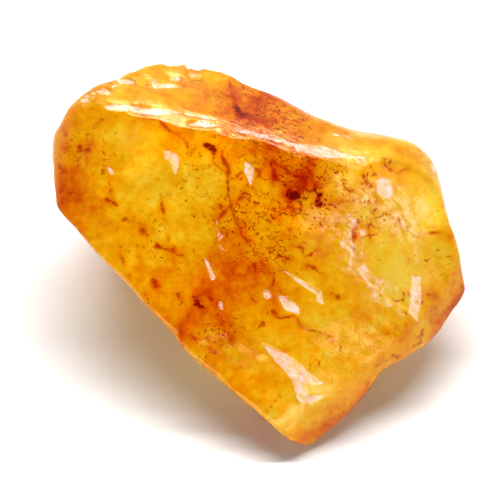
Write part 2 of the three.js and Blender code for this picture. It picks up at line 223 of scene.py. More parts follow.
# Painted highlights along the ridges and the upper outline, where the strip light's glints fall, pale like
# rubbed or frosted lines; laid out as the streaks are.
RUBS_AND_PAINTED_GLINTS = [
    (0.1, [(-3.6, 13.6), (-1.0, 13.2), (1.8, 12.5), (4.6, 11.2), (7.4, 10.6), (10.4, 10.0), (11.6, 9.9)]),
    (0.15, [(-19.9, 16.8), (-18.1, 17.4), (-16.8, 17.9), (-14.5, 18.8)]),
    (0.22, [(-12.3, 18.5), (-9.6, 18.3)]), (0.2, [(-8.2, 19.3), (-6.4, 19.6)]),
    (0.16, [(17.9, 11.3), (18.8, 10.2), (19.5, 8.9)]), (0.12, [(-4.9, 3.1), (-4.6, 1.8)]),
    (0.12, [(-4.2, 1.4), (-3.8, 0.1)]), (0.12, [(8.3, 12.8), (10.2, 12.4)]),
]
# Painted reflection: pale pink bands that follow the ledge, and the four short rungs at its foot, laid out as
# the streaks are.
SHEEN_BANDS = [
    (0.7, [(10.3, 3.6), (9.9, 1.1), (10.2, -1.1)]), (0.7, [(10.2, -1.1), (11.6, -2.8), (12.6, -4.5)]),
    (0.6, [(12.6, -4.6), (13.6, -5.8), (15.5, -6.8)]), (0.28, [(11.6, 2.2), (11.3, -0.3), (11.9, -2.6)]),
    (0.18, [(17.3, 1.2), (17.7, -1.6)]),
    (0.15, [(12.9, -3.175), (13.1, -5.37)]), (0.15, [(13.6, -3.35), (13.8, -5.58)]),
    (0.15, [(14.3, -3.525), (14.5, -5.79)]), (0.15, [(15.0, -3.7), (15.2, -6.0)]),
]
# Soft patches: u, v, radius and strength. RUSTY ones deepen the colour, LEMON ones make it paler, and the others
# carry haze, partly a painted pink reflection, and crowds of specks.
RUSTY = [
    (-6.2, -5.8, 1.1, 1.0), (3.4, 7.4, 1.5, 1.6), (4.9, 7.0, 1.2, 1.2), (-2.1, 13.9, 3.6, 1.2),
    (-5.2, 15.4, 2.5, 0.5), (0.8, 14.2, 3.4, 1.3), (-1.5, 16.8, 3.0, 0.9), (6.0, 13.4, 2.6, 0.8),
    (10.6, 12.6, 2.4, 0.6), (-9.3, 14.6, 1.5, 1.0), (-9.4, 19.4, 1.1, 0.9), (4.4, 7.2, 3.8, 0.7),
    (-1.8, 2.0, 4.0, 0.75), (1.1, -1.4, 2.9, 0.8), (-4.5, -3.6, 4.0, 0.85), (-6.2, -7.6, 3.4, 0.9),
    (-7.7, -9.0, 2.2, 0.6), (-2.6, -1.7, 2.9, 0.5), (-4.1, -11.8, 2.9, 0.6), (0.4, -5.6, 2.2, 0.4),
    (-19.0, 12.8, 2.5, 0.45), (-21.9, 12.5, 1.8, 0.6), (4.6, 14.5, 3.4, 0.35), (21.6, -3.6, 2.2, 0.5),
    (19.7, -7.3, 2.2, 0.5), (13.3, -13.2, 2.7, 1.1), (9.7, -17.0, 2.7, 1.0), (6.6, -20.4, 2.0, 0.9),
    (-1.2, 7.8, 2.5, 0.5), (4.6, 11.1, 2.7, 0.5), (19.2, 9.5, 1.1, 0.7), (-0.9, -16.8, 2.2, 0.3),
    (-10.4, 0.0, 2.0, 0.3), (-13.2, -5.6, 1.8, 0.25), (12.7, 3.9, 2.2, 0.2), (8.0, 3.9, 2.5, 0.25),
    (15.8, -10.1, 1.8, 0.8),
]
LEMON = [
    (16.0, -1.0, 2.6, 1.2), (14.7, -3.0, 1.6, 0.9), (19.2, 3.0, 2.2, 1.0), (19.4, -0.8, 1.6, 1.1),
    (18.3, 6.0, 2.0, 0.7), (-16.6, 5.6, 4.5, 0.25), (-11.6, 8.4, 3.8, 0.35), (-8.8, 3.9, 3.8, 0.3),
    (-6.0, 6.7, 2.7, 0.3), (-16.4, 0.5, 3.1, 0.5), (-12.1, 18.4, 3.4, 0.9), (-18.0, 16.6, 2.0, 0.6),
    (-13.2, 11.1, 2.5, 0.35), (5.8, 1.7, 3.1, 0.4), (1.8, 3.9, 2.7, 0.35), (6.9, -7.8, 4.0, 0.55),
    (9.7, -10.6, 3.1, 0.5), (4.6, -9.5, 2.7, 0.5), (-5.2, -9.0, 1.6, 0.7), (1.8, -17.3, 2.5, 0.5),
    (-2.1, -14.0, 2.0, 0.3), (-6.0, 1.1, 2.0, 0.4), (9.1, 9.5, 2.2, 0.3), (15.8, 10.0, 2.7, 0.25),
    (-17.4, -0.5, 0.7, 0.9), (4.6, -12.9, 2.2, 0.4),
]
# Pinkish haze patches, partly real cloudiness and partly a painted reflection.
HAZY_AND_SHEEN = [
    (17.4, 5.0, 2.2, 1.0), (16.8, 2.4, 1.8, 0.9), (13.9, 6.7, 1.8, 0.8), (11.4, 6.1, 1.3, 1.3), (9.1, 7.5, 1.1, 0.9),
    (14.4, 3.8, 1.9, 0.9), (7.4, 2.5, 2.4, 0.5), (17.4, -5.0, 1.1, 0.6), (9.7, 2.8, 1.8, 0.6),
    (10.4, -1.4, 1.6, 0.6), (12.7, -3.9, 1.6, 0.6), (6.9, 3.6, 1.3, 0.4), (18.6, -2.5, 1.6, 0.4),
    (9.1, 10.9, 2.0, 0.3), (-13.8, 12.5, 1.3, 0.3),
]
SPECKLED = [
    (-1.0, 15.2, 4.5, 1.0), (3.0, 13.6, 3.5, 0.7), (2.0, 3.0, 4.5, 0.7), (4.5, 7.5, 3.5, 0.9),
    (-4.6, -8.8, 2.6, 1.0), (-8.0, 9.5, 3.0, 0.5), (-19.5, 11.0, 3.0, 0.7), (-3.0, 3.0, 3.5, 0.7),
    (-12.0, 2.0, 2.5, 0.5), (11.0, 6.0, 3.0, 0.4),
]


def unit(v):
    v = np.asarray(v, float)
    return v / np.linalg.norm(v)


def leaned(points, angle):
    """Points turned about the u axis, by a plus angle from the face's axes to those of the resting stone."""
    c, s = math.cos(angle), math.sin(angle)
    turn = np.array([[1, 0, 0], [0, c, s], [0, -s, c]])
    return np.asarray(points, float) @ turn


def smooth_max(a, b, k):
    """The larger of the two, rounded where they are less than k apart."""
    h = np.maximum(k - np.abs(a - b), 0) / k
    return np.maximum(a, b) + h * h * k / 4


def girdle_depth(u, v):
    return GIRDLE_DEPTH[0] + GIRDLE_DEPTH[1] * u + GIRDLE_DEPTH[2] * v


def girdle_curve(samples):
    """A closed centripetal Catmull-Rom curve through the girdle's points."""
    points = np.array(GIRDLE)
    before, after, later = (np.roll(points, k, 0) for k in (1, -1, -2))
    gaps = [np.sqrt(np.linalg.norm(b - a, axis=1))[:, None]
            for a, b in ((before, points), (points, after), (after, later))]
    start = (points - before) / gaps[0] - (after - before) / (gaps[0] + gaps[1]) + (after - points) / gaps[1]
    end = (after - points) / gaps[1] - (later - points) / (gaps[1] + gaps[2]) + (later - after) / gaps[2]
    start, end = start * gaps[1], end * gaps[1]
    at = np.linspace(0, len(points), samples, endpoint=False)
    i = at.astype(int)
    t = (at - i)[:, None]
    cubic = 2 * points - 2 * after + start + end
    square = -3 * points + 3 * after - 2 * start - end
    return points[i] + start[i] * t + square[i] * t**2 + cubic[i] * t**3


curve = girdle_curve(GIRDLE_SAMPLES)
turns = np.arctan2(curve[:, 1], curve[:, 0])
order = np.argsort(turns)
girdle_turns, girdle_radii = turns[order], np.hypot(*curve.T)[order]


def facet(at, facing, in_face_frame=True):
    """A plane through a place, as the way that it faces and its distance from the middle."""
    facing = unit(facing)
    if not in_face_frame:
        at, facing = leaned(at, -FACE_LEAN), leaned(facing, -FACE_LEAN)
    return [*facing, facing @ np.asarray(at, float)]


def side(a, b, under):
    """A plane past two places on the girdle that leans in beneath it by this many degrees."""
    a, b = np.array(a), np.array(b)
    u, v = (a + b) / 2
    out = unit((b[1] - a[1], a[0] - b[0]))
    out = out if out @ (u, v) > 0 else -out
    lean = math.radians(under)
    facing = np.array([*(out * math.cos(lean)), -math.sin(lean)])
    return [*facing, facing @ (u, v, girdle_depth(u, v)) + SIDE_SLACK]


facets = np.array([facet(*f) for f in FACE_FACETS] + [side(*s) for s in SIDES]
                  + [facet(*f, in_face_frame=False) for f in LOW_FACETS])
breaks = [np.array([facet(*f) for f in planes]) for planes in BREAKS]
resting = np.array(facet((0, 0, -REST_DEPTH), (0, 0, -1), in_face_frame=False))


def past(planes, p):
    """How far each place lies outside each plane."""
    return p @ planes[..., :3].T - planes[..., 3]


def spread(i, count):
    """One of this many directions that are spread evenly over a ball."""
    z = 1 - (2 * i + 1) / count
    across = math.sqrt(1 - z * z)
    return np.array([across * math.cos(i * GOLDEN_ANGLE), across * math.sin(i * GOLDEN_ANGLE), z])


def waves(p, count, longest, shortest, height):
    total = np.zeros(p.shape[:-1])
    for i in range(count):
        length = longest * (shortest / longest) ** (i / (count - 1))
        total += height * length * np.sin(2 * math.pi * (p @ spread(i, count)) / length + i * i)
    return total


def faceted_field(p):
    """Roughly how far each place lies outside the stone, before anything broke off it."""
    across = np.hypot(p[:, 0], p[:, 1]) / np.interp(np.arctan2(p[:, 1], p[:, 0]), girdle_turns, girdle_radii,
                                                    period=2 * math.pi)
    depth = p[:, 2] - girdle_depth(p[:, 0], p[:, 1])
    swell = np.where(depth > 0, SWELL_FRONT, SWELL_BACK)
    size = across**SWELL_POWER + np.abs(depth / swell) ** SWELL_POWER
    field = (size ** (1 / SWELL_POWER) - 1) * FIELD_SCALE
    for gap in past(facets, p).T:
        field = smooth_max(field, gap, ROUNDING)
    return field + waves(p, **WAVES)


def reach(field, ways, farthest=FARTHEST):
    """How far a body reaches from its middle along each way."""
    inside, outside = np.zeros(len(ways)), np.full(len(ways), farthest)
    for _ in range(REACH_HALVINGS):
        middle = (inside + outside) / 2
        within = field(ways * middle[:, None]) < 0
        inside, outside = np.where(within, middle, inside), np.where(within, outside, middle)
    return inside


def mixed(span, i, step):
    """A number from the span that jumps about as i grows."""
    return span[0] + (span[1] - span[0]) * ((i + 1) * step % 1)


def scoop(rule, i, at, way, share=1.0):
    """The ball of one of a rule's breaks: its middle, over a place on the skin, and its radius."""
    radius = mixed(rule["radius"], i, SHUFFLE["radius"])
    return at + unit(way) * (radius - share * mixed(rule["depth"], i, SHUFFLE["depth"])), radius


def skin_along(way):
    """Where the faceted stone's skin meets a way from its middle."""
    return way * reach(faceted_field, way[None])[0]


def low_ways(rule):
    """The ways from the middle that don't look higher than a rule allows, each with its number."""
    ways = [(i, spread(i, rule["count"])) for i in range(rule["count"])]
    return [(i, way) for i, way in ways if way[2] <= rule["highest"]]


def inside_outline(p, corners):
    """How far inside a convex outline in u, v each point is."""
    corners = np.array(corners)
    middle = corners.mean(0)
    gap = None
    for a, b in zip(corners, np.roll(corners, -1, 0)):
        out = unit((b[1] - a[1], a[0] - b[0]))
        out = out if out @ (a - middle) > 0 else -out
        edge = (a - p[:, :2]) @ out
        gap = edge if gap is None else np.minimum(gap, edge)
    return gap


def flake_plane(corners, facing, depth):
    u, v = np.mean(corners, 0)
    height = reach(lambda p: faceted_field(p + (u, v, 0)), np.array([[0.0, 0.0, 1.0]]), FARTHEST_UP)[0]
    plane = np.array(facet((u, v, height), facing))
    plane[3] -= depth
    return plane


def nick(i):
    """One of the bites along the outline."""
    start, end = (math.atan2(v, u) for u, v in (NICKS["from"], NICKS["to"]))
    last = NICKS["count"] - 1
    turn = start + (end - start) * (i + NICKS["uneven"] * math.sin(5 * i)) / last
    radius = np.interp(turn, girdle_turns, girdle_radii)
    u, v = radius * math.cos(turn), radius * math.sin(turn)
    at = skin_along(unit((u, v, girdle_depth(u, v) + NICKS["lift"] * math.sin(3 * i))))
    (left_in, rise), (left_out, fall) = NICKS["fade_in"], NICKS["fade_out"]
    fade = min(1, left_in + rise * (i / last), left_out + fall * (1 - i / last))
    return scoop(NICKS, i, at, (math.cos(turn), math.sin(turn), NICKS["out"]), fade)


def spall(i, way):
    """A stretched scoop: its middle, its radius and its long way."""
    step, start = SPALLS["turns"]
    other_way = spread((step * i + start) % SPALLS["count"], SPALLS["count"])
    return *scoop(SPALLS, i, skin_along(way), way), unit(np.cross(way, other_way))


scoops = [scoop(CHIPS, i, skin_along(way), way) for i, way in low_ways(CHIPS)]
scoops += [nick(i) for i in range(NICKS["count"])]
flakes = [(corners, flake_plane(corners, facing, depth)) for corners, facing, depth in FLAKES]
spalls = [spall(i, way) for i, way in low_ways(SPALLS)]


def spalled(field, p, under_girdle):
    """The field with the spalls taken out, below the girdle alone."""
    for centre, radius, long_way in spalls:
        off = p - centre
        off = off - (1 - SPALLS["stretch"]) * (off @ long_way)[:, None] * long_way
        removed = np.minimum(radius - np.linalg.norm(off, axis=1), under_girdle)
        field = smooth_max(field, removed, CHIP_ROUNDING)
    return field


def flaked(field, p):
    """The field with the flakes taken off the broad face."""
    for corners, plane in flakes:
        removed = np.minimum(past(plane, p), inside_outline(p, corners))
        field = smooth_max(field, removed, FLAKE_ROUNDING)
    return field


def stone_field(p):
    """Roughly how far each place lies outside the finished stone, in millimetres."""
    field = faceted_field(p) + waves(p, **RIPPLES)
    stray = np.stack([waves(p[:, [1, 2, 0]], **WAVES), waves(p[:, [2, 0, 1]], **WAVES), np.zeros(len(p))], 1)
    strayed = p + WANDER * stray
    for planes in breaks:
        field = smooth_max(field, past(planes, strayed).min(1), CHIP_ROUNDING)
    for centre, radius in scoops:
        field = smooth_max(field, radius - np.linalg.norm(strayed - centre, axis=1), CHIP_ROUNDING)
    under_girdle = girdle_depth(p[:, 0], p[:, 1]) - SPALLS["below"] - p[:, 2]
    below, above = under_girdle > -CHIP_ROUNDING, under_girdle <= -CHIP_ROUNDING
    field[below] = spalled(field[below], strayed[below], under_girdle[below])
    field[above] = flaked(field[above], p[above])
    return smooth_max(field, past(resting, p), ROUNDING)


def ball_mesh(frequency):
    """Directions and triangles of an icosahedron whose edges are cut into this many parts."""
    g = (1 + math.sqrt(5)) / 2
    corners = np.array([(-1, g, 0), (1, g, 0), (-1, -g, 0), (1, -g, 0), (0, -1, g), (0, 1, g), (0, -1, -g),
                        (0, 1, -g), (g, 0, -1), (g, 0, 1), (-g, 0, -1), (-g, 0, 1)])
    faces = [(0, 11, 5), (0, 5, 1), (0, 1, 7), (0, 7, 10), (0, 10, 11), (1, 5, 9), (5, 11, 4), (11, 10, 2),
             (10, 7, 6), (7, 1, 8), (3, 9, 4), (3, 4, 2), (3, 2, 6), (3, 6, 8), (3, 8, 9), (4, 9, 5), (2, 4, 11),
             (6, 2, 10), (8, 6, 7), (9, 8, 1)]
    grid = np.array([(i, j) for i in range(frequency + 1) for j in range(frequency + 1 - i)])
    index = {tuple(ij): k for k, ij in enumerate(grid)}
    small = [(index[i, j], index[i + 1, j], index[i, j + 1]) for i in range(frequency) for j in range(frequency - i)]
    small += [(index[i + 1, j], index[i + 1, j + 1], index[i, j + 1])
              for i in range(frequency - 1) for j in range(frequency - 1 - i)]
    share = grid / frequency
    points, triangles = [], []
    for a, b, c in corners[np.array(faces)]:
        triangles.append(np.array(small) + len(points) * len(grid))
        points.append(a + share[:, :1] * (b - a) + share[:, 1:] * (c - a))
    points = np.concatenate(points)
    ways = points / np.linalg.norm(points, axis=1)[:, None]
    _, first, same = np.unique(np.round(ways, 6), axis=0, return_index=True, return_inverse=True)
    return ways[first], same.reshape(-1)[np.concatenate(triangles)]


# The skin's mesh: how finely the ball is cut, how much finer on the broad face than behind, how often its points are
# spread out evenly, and how they are closed in on the skin: halvings before, steps between and halvings after.
FREQUENCY = 96
FACE_SHARE = 1.3
EVENING_ROUNDS = 6
FIRST_HALVINGS = 8
EVENING_STEP = 0.5
LAST_REACH = 0.8
LAST_HALVINGS = 11


def halved(inside, outside, ways, halvings):
    """Distances along each way, from one that is inside and one that is outside, closed in on the skin."""
    for _ in range(halvings):
        middle = (inside + outside) / 2
        within = stone_field(ways * middle[:, None]) < 0
        inside, outside = np.where(within, middle, inside), np.where(within, outside, middle)
    return inside


def stone_mesh():
    """The stone's points, on the face's axes, and triangles."""
    ways, triangles = ball_mesh(FREQUENCY)
    # The directions are drawn towards the broad face, all round the w axis alike.
    lean = (FACE_SHARE**2 - 1) / (FACE_SHARE**2 + 1)
    z = (ways[:, 2] + lean) / (1 + lean * ways[:, 2])
    across = np.sqrt((1 - z**2) / np.maximum(1 - ways[:, 2] ** 2, 1e-12))
    ways = np.column_stack([ways[:, :2] * across[:, None], z])
    edges = np.concatenate([triangles[:, [0, 1]], triangles[:, [1, 2]], triangles[:, [2, 0]]])
    edges = np.unique(np.sort(edges), axis=0)
    edges = np.concatenate([edges, edges[:, ::-1]])
    neighbours = np.bincount(edges[:, 0], minlength=len(ways))
    far = halved(np.zeros(len(ways)), np.full(len(ways), FARTHEST), ways, FIRST_HALVINGS)
    for _ in range(EVENING_ROUNDS):
        points = ways * far[:, None]
        mean = np.column_stack([np.bincount(edges[:, 0], points[edges[:, 1], k], len(ways)) for k in range(3)])
        mean = mean / neighbours[:, None]
        far = np.linalg.norm(mean, axis=1)
        ways = mean / far[:, None]
        far = far - np.clip(stone_field(ways * far[:, None]), -EVENING_STEP, EVENING_STEP)
    return ways * halved(far - LAST_REACH, far + LAST_REACH, ways, LAST_HALVINGS)[:, None], triangles


points, triangles = stone_mesh()
low, high = (np.array(corner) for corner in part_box("rough_sapphire"))
stood = leaned(points, FACE_LEAN)
mm_low, mm_high = stood.min(0), stood.max(0)
placed = low + (stood - mm_low) / (mm_high - mm_low) * (high - low)


def on_stone(u, v, w):
    """A place on the broad face's axes, in the row frame."""
    return Vector(low + (leaned((u, v, w), FACE_LEAN) - mm_low) / (mm_high - mm_low) * (high - low))


mesh = bpy.data.meshes.new("sapphire")
mesh.from_pydata(placed.tolist(), [], triangles.tolist())
mesh.shade_smooth()
mesh.update()
stone = bpy.data.objects.new("rough_sapphire_skin", mesh)
bpy.context.scene.collection.objects.link(stone)


# The noise at the mesh's points: how fast it fades and shrinks from one octave to the next, which way it is shifted,
# and for each use the size of its largest lumps in millimetres, its octaves and how far it is shifted.
LUMP_FALL = 0.9
LUMP_STEP = 2.1
LUMP_SHIFT = np.array([1.7, 9.2, 5.3])
LUMPS = {
    "width": (1.5, 2, 4), "zones": (7, 3, 5), "clouds": (2.0, 4, 6), "drift": (13, 2, 7), "cracked": (4, 3, 8),
    "speckled": (4, 3, 9), "hazy": (6, 3, 10),
}
PATCH_SPREAD = 1.2
# How far the noise leads marks and cracks astray, and how wide streaks are, as a share of their own width.
ASTRAY = {"lumps": (2.2, 3), "marks": 0.55, "cracks": 1.5}
STREAK_WIDTH = (0.62, 1.2)
# The marks of the broad face fade in over this height above the girdle. Distances to them are kept between limits.
FRONT_EDGE = (0, 1.6)
FAR_OFF = 3
DEEPEST = 0.6
# What makes up the tone, from lemon at 0 to rust at 1, and where the rim and the ends of the stone set in and are
# full. The right end is measured along a line that leans with the ridge.
TONE = {
    "base": 0.39, "patches": 0.15, "clouds": 0.42, "zone_share": 0.45, "cloud_share": 0.55, "drift": 0.08,
    "hidden_drift": 0.4, "rim": 0.3, "left_end": 0.22, "right_end": 0.1,
}
RIM_WIDTH = 1.3
RIM_BELOW = (18, 12)
LEFT_END = (-16, -23)
RIGHT_END = (0, 14)
RIGHT_LEAN = 0.4
# Cracks: the size of their cells, their seed, and where noise closes them and by how much.
CRACKS = {"cell": 8.0, "seed": 11, "closed": (0.15, -0.15), "by": 0.25}
# Specks and haze of the hidden half, and the pinkish painted reflection that goes with the pink bands.
SPECKS = {"edge": (0, 0.6), "strength": 0.9, "front_share": 0.5}
HAZE = {"edge": (0.1, 0.6), "strength": 0.8, "sheen_bands": 0.7}
SHEEN_BAND_EDGE = (0.12, -0.15)


def lumps(places, size, octaves, shift):
    """Fractal noise about 0 at each place, its largest lumps this many millimetres across."""
    scaled = (places / size + shift * LUMP_SHIFT).tolist()
    return np.array([noise.fractal(place, LUMP_FALL, LUMP_STEP, octaves) for place in scaled])


def smooth_step(start, end, values):
    """0 before start and 1 past end, smoothly between."""
    t = np.clip((values - start) / (end - start), 0, 1)
    return t * t * (3 - 2 * t)


def to_streaks(uv, streaks, width):
    """How far each place lies outside the nearest streak, in millimetres, and less than 0 inside one."""
    nearest = np.full(len(uv), np.inf)
    for half, line in streaks:
        line = np.array(line)
        for a, b in zip(line, line[1:]):
            along = np.clip((uv - a) @ (b - a) / ((b - a) @ (b - a)), 0, 1)
            gap = np.linalg.norm(uv - a - along[:, None] * (b - a), axis=1)
            nearest = np.minimum(nearest, gap - half * width)
    return nearest


def patches(uv, spots):
    """The strength of soft round spots at each place."""
    total = np.zeros(len(uv))
    for u, v, radius, strength in spots:
        total += strength * np.exp(-((uv[:, 0] - u) ** 2 + (uv[:, 1] - v) ** 2) / (PATCH_SPREAD * radius**2))
    return total


def crack_gap(places, cell, seed):
    """Distance to the nearest wall between cells about a seeded scatter of middles."""
    scatter = np.random.default_rng(seed)
    low, high = places.min(0) - cell, places.max(0) + cell
    middles = scatter.uniform(low, high, (int(np.prod(high - low) / cell**3), 3))
    squares = (places**2).sum(1)[:, None] - 2 * places @ middles.T + (middles**2).sum(1)
    near = np.partition(squares, 1, axis=1)[:, :2]
    return (near[:, 1] - near[:, 0]) / (2 * cell)


def skin_values():
    """What the material reads at each point of the mesh."""
    u, v = points[:, 0], points[:, 1]
    depth = points[:, 2] - girdle_depth(u, v)
    front = smooth_step(*FRONT_EDGE, depth)
    hidden = 1 - front
    astray = np.column_stack([lumps(points, *ASTRAY["lumps"], shift) for shift in (1, 2, 3)])
    uv = points[:, :2] + ASTRAY["marks"] * astray[:, :2]
    width = STREAK_WIDTH[0] + STREAK_WIDTH[1] * lumps(points, *LUMPS["width"])

    def seen(gap):
        return FAR_OFF - front * (FAR_OFF - np.clip(gap, -DEEPEST, FAR_OFF))

    clouds = (TONE["zone_share"] * lumps(points, *LUMPS["zones"])
              + TONE["cloud_share"] * lumps(points, *LUMPS["clouds"]))
    tone = (TONE["base"] + TONE["patches"] * front * (patches(uv, RUSTY) - patches(uv, LEMON))
            + TONE["clouds"] * clouds)
    tone += (TONE["drift"] + TONE["hidden_drift"] * hidden) * lumps(points, *LUMPS["drift"])
    tone += TONE["rim"] * smooth_step(*RIM_BELOW, v) * np.exp(-((depth / RIM_WIDTH) ** 2))
    tone += front * (TONE["left_end"] * smooth_step(*LEFT_END, u)
                     - TONE["right_end"] * smooth_step(*RIGHT_END, u - RIGHT_LEAN * v))
    crack = (crack_gap(points + ASTRAY["cracks"] * astray, CRACKS["cell"], CRACKS["seed"])
             + CRACKS["by"] * smooth_step(*CRACKS["closed"], lumps(points, *LUMPS["cracked"])))
    own_specks = SPECKS["strength"] * smooth_step(*SPECKS["edge"], lumps(points, *LUMPS["speckled"]))
    front_share = SPECKS["front_share"]
    sheen_banded = smooth_step(*SHEEN_BAND_EDGE, to_streaks(uv, SHEEN_BANDS, width))
    hidden_haze = HAZE["strength"] * hidden * smooth_step(*HAZE["edge"], lumps(points, *LUMPS["hazy"]))
    on_flake = np.max([inside_outline(points, corners) for corners, plane in flakes], axis=0)
    return {
        "tone": tone,
        "streak": seen(to_streaks(uv, STREAKS, width)),
        "blot": seen(to_streaks(uv, [streak for streak in STREAKS if streak[0] > BLOT_WIDTH], width)),
        # Painted highlights along the ridges and the outline, pale like rubbed lines.
        "rubbed_and_glint": seen(to_streaks(uv, RUBS_AND_PAINTED_GLINTS, width)),
        "crack": np.clip(crack, 0, 1),
        "speckled": front * patches(uv, SPECKLED) + own_specks * (front_share + (1 - front_share) * hidden),
        # Haze, partly a painted pink reflection on the broad face.
        "hazy": front * (patches(uv, HAZY_AND_SHEEN) + HAZE["sheen_bands"] * sheen_banded) + hidden_haze,
        # Pale pink bands along the ledge, a painted reflection.
        "sheen_banded": front * sheen_banded,
        # Where the flakes are painted pale pink, as a painted reflection.
        "flake": -1 + front * (1 + np.clip(on_flake, -1, DEEPEST)),
    }


for name, values in skin_values().items():
    mesh.attributes.new(name, "FLOAT", "POINT").data.foreach_set("value", values)

# The stone's own colour by its tone, and those of its marks.
BODY = [
    (0.0, (1.0, 0.83, 0.1)), (0.18, (1.0, 0.72, 0.035)), (0.35, (0.97, 0.6, 0.006)), (0.53, (0.9, 0.45, 0.0)),
    (0.69, (0.86, 0.33, 0.0)), (0.85, (0.77, 0.2, 0.0)), (1.0, (0.62, 0.11, 0.0)),
]
DARK = (0.2, 0.004, 0.0, 1)
SPECK = (0.36, 0.04, 0.0, 1)
STAIN = (0.52, 0.03, 0.0, 1)
RUST = (0.68, 0.085, 0.0, 1)
# The pale pink of painted reflections and highlights, and of haze that is partly a painted reflection.
FROST_AND_SHEEN_PALE = (1.0, 0.8, 0.72, 1)
HAZE_AND_SHEEN_PALE = (1.0, 0.76, 0.4, 1)
MM_PER_M = 1000
# The material's noises: the size of the largest lumps in millimetres, detail, roughness, and how each is shifted in
# metres, stretched, and turned in degrees.
GRAINS = {
    "fine": (0.8, 4, 0.68, {}),
    "grit": (0.42, 2, 0.6, {"shift": (0.05, 0.02, 0.03)}),
    "hatch": (0.5, 3, 0.6, {"stretch": (1, 2.6, 2.6), "turn": (35, 0, 60)}),
    "dash": (0.3, 2, 0.5, {"shift": (0.01, 0.03, 0.02), "stretch": (3, 1, 1), "turn": (35, 0, -30)}),
    "thread": (3.2, 4, 0.6, {"shift": (0.02, 0.07, 0.01)}),
}
# Where each kind of mark sets in and where it is full.
EDGES = {
    "halo": (0.9, -0.2), "haze_and_sheen": (-0.5, 0.6), "thread": (0.045, 0.01), "thread_crowd": (0.1, 0.7),
    "thread_gaps": (-0.05, 0.2), "crack": (0.14, 0.02), "speck": (0.44, 0.6), "clot": (0.3, 0.62),
    "streak": (0.2, -0.22), "blot": (0.12, -0.45), "flake": (-0.05, 0.14), "rub_and_glint": (0.1, -0.15),
    "near_ridge": (1.3, 0.0),
}
# How much noise frays each kind, or how much a crowd adds to it.
FRAYS = {
    "tone": 0.4, "halo": 0.7, "crack": 0.06, "speck": 0.24, "clot": 0.16, "streak": 0.75, "blot": 0.9,
    "blot_grit": 1.1, "flake": 0.2, "rub_and_glint": 0.55,
}
# How strongly each kind covers the stone's own colour, and how the pale kinds, painted reflections, are mottled:
# a base and a share.
COVERS = {
    "halo": 0.16, "haze_and_sheen": 0.8, "thread": 0.7, "speck": 0.75, "clot": 0.7, "streak": 0.8, "blot": 0.92, "rub_and_glint": 0.8,
}
FLAKE_SHEEN_MOTTLE = (0.68, 0.75)
BAND_SHEEN_MOTTLE = (0.38, 0.8)
# Roughness and transmission: a base, and what is added where the skin is painted pale. Roughness varies with noise
# as well.
ROUGHNESS = {"base": 0.13, "fine": 0.05, "frost_and_sheen": 0.02}
CLEARNESS = {"base": 0.5, "frost_and_sheen": -0.25}
BUMP = {"Strength": 0.4, "Distance": 0.0001}
RIDGE_WRINKLES = 5.0

material = bpy.data.materials.new("sapphire")
material.use_nodes = True
mesh.materials.append(material)
tree = material.node_tree
shader = tree.nodes["Principled BSDF"]
output = tree.nodes["Material Output"]
place = tree.nodes.new("ShaderNodeTexCoord").outputs["Object"]


def plug(socket, value):
    """Links a node's output to a socket, or sets the socket's own value."""
    if isinstance(value, bpy.types.NodeSocket):
        tree.links.new(value, socket)
    else:
        socket.default_value = value


def sums(operation, *values, clamp=False):
    """A Math node's result."""
    node = tree.nodes.new("ShaderNodeMath")
    node.operation = operation
    node.use_clamp = clamp
    for socket, value in zip(node.inputs, values):
        plug(socket, value)
    return node.outputs[0]


def times(a, b):
    return sums("MULTIPLY", a, b)


def plus(value, other, share, clamp=False):
    """The value and this share of the other."""
    return sums("MULTIPLY_ADD", other, share, value, clamp=clamp)


def stepped(value, start, end):
    """0 at start and 1 at end, smoothly between."""
    node = tree.nodes.new("ShaderNodeMapRange")
    node.interpolation_type = "SMOOTHSTEP"
    for name, item in (("Value", value), ("From Min", start), ("From Max", end)):
        plug(node.inputs[name], item)
    return node.outputs["Result"]


def stored(name):
    """What the mesh holds under this name."""
    node = tree.nodes.new("ShaderNodeAttribute")
    node.attribute_name = name
    return node.outputs["Fac"]


def moved(shift=(0, 0, 0), stretch=(1, 1, 1), turn=(0, 0, 0)):
    """The object's places, shifted, and seen along turned and stretched axes."""
    node = tree.nodes.new("ShaderNodeMapping")
    node.vector_type = "TEXTURE"
    node.inputs["Location"].default_value = shift
    node.inputs["Rotation"].default_value = [math.radians(angle) for angle in turn]
    node.inputs["Scale"].default_value = stretch
    plug(node.inputs["Vector"], place)
    return node.outputs["Vector"]


def grained(size, detail, roughness, moves):
    """Noise about 0 whose lumps are this many millimetres across."""
    at = moved(**moves) if moves else place
    node = tree.nodes.new("ShaderNodeTexNoise")
    for name, value in (("Vector", at), ("Scale", MM_PER_M / size), ("Detail", detail), ("Roughness", roughness)):
        plug(node.inputs[name], value)
    return sums("MULTIPLY_ADD", node.outputs["Fac"], 2, -1)


def blended(share, a, b):
    """From a to b by this share."""
    node = tree.nodes.new("ShaderNodeMix")
    node.data_type = "RGBA"
    for socket, value in zip((node.inputs[0], node.inputs[6], node.inputs[7]), (share, a, b)):
        plug(socket, value)
    return node.outputs[2]


def ramp(value, stops):
    """The colour between two of the stops."""
    node = tree.nodes.new("ShaderNodeValToRGB")
    stop = node.color_ramp.elements
    while len(stop) < len(stops):
        stop.new(1)
    for element, (at, colour) in zip(stop, stops):
        element.position = at
        element.color = (*colour, 1)
    plug(node.inputs["Fac"], value)
    return node.outputs["Color"]


fine, grit, hatch, dash, thread = (grained(*grain) for grain in GRAINS.values())
streak, blot, crowd = stored("streak"), stored("blot"), stored("speckled")

# Zones of colour from lemon to deep orange, deeper round the stains.
halo = stepped(plus(streak, fine, FRAYS["halo"]), *EDGES["halo"])
tone = plus(plus(stored("tone"), fine, FRAYS["tone"]), halo, COVERS["halo"])
body = ramp(tone, BODY)
mottled = sums("ADD", hatch, fine)
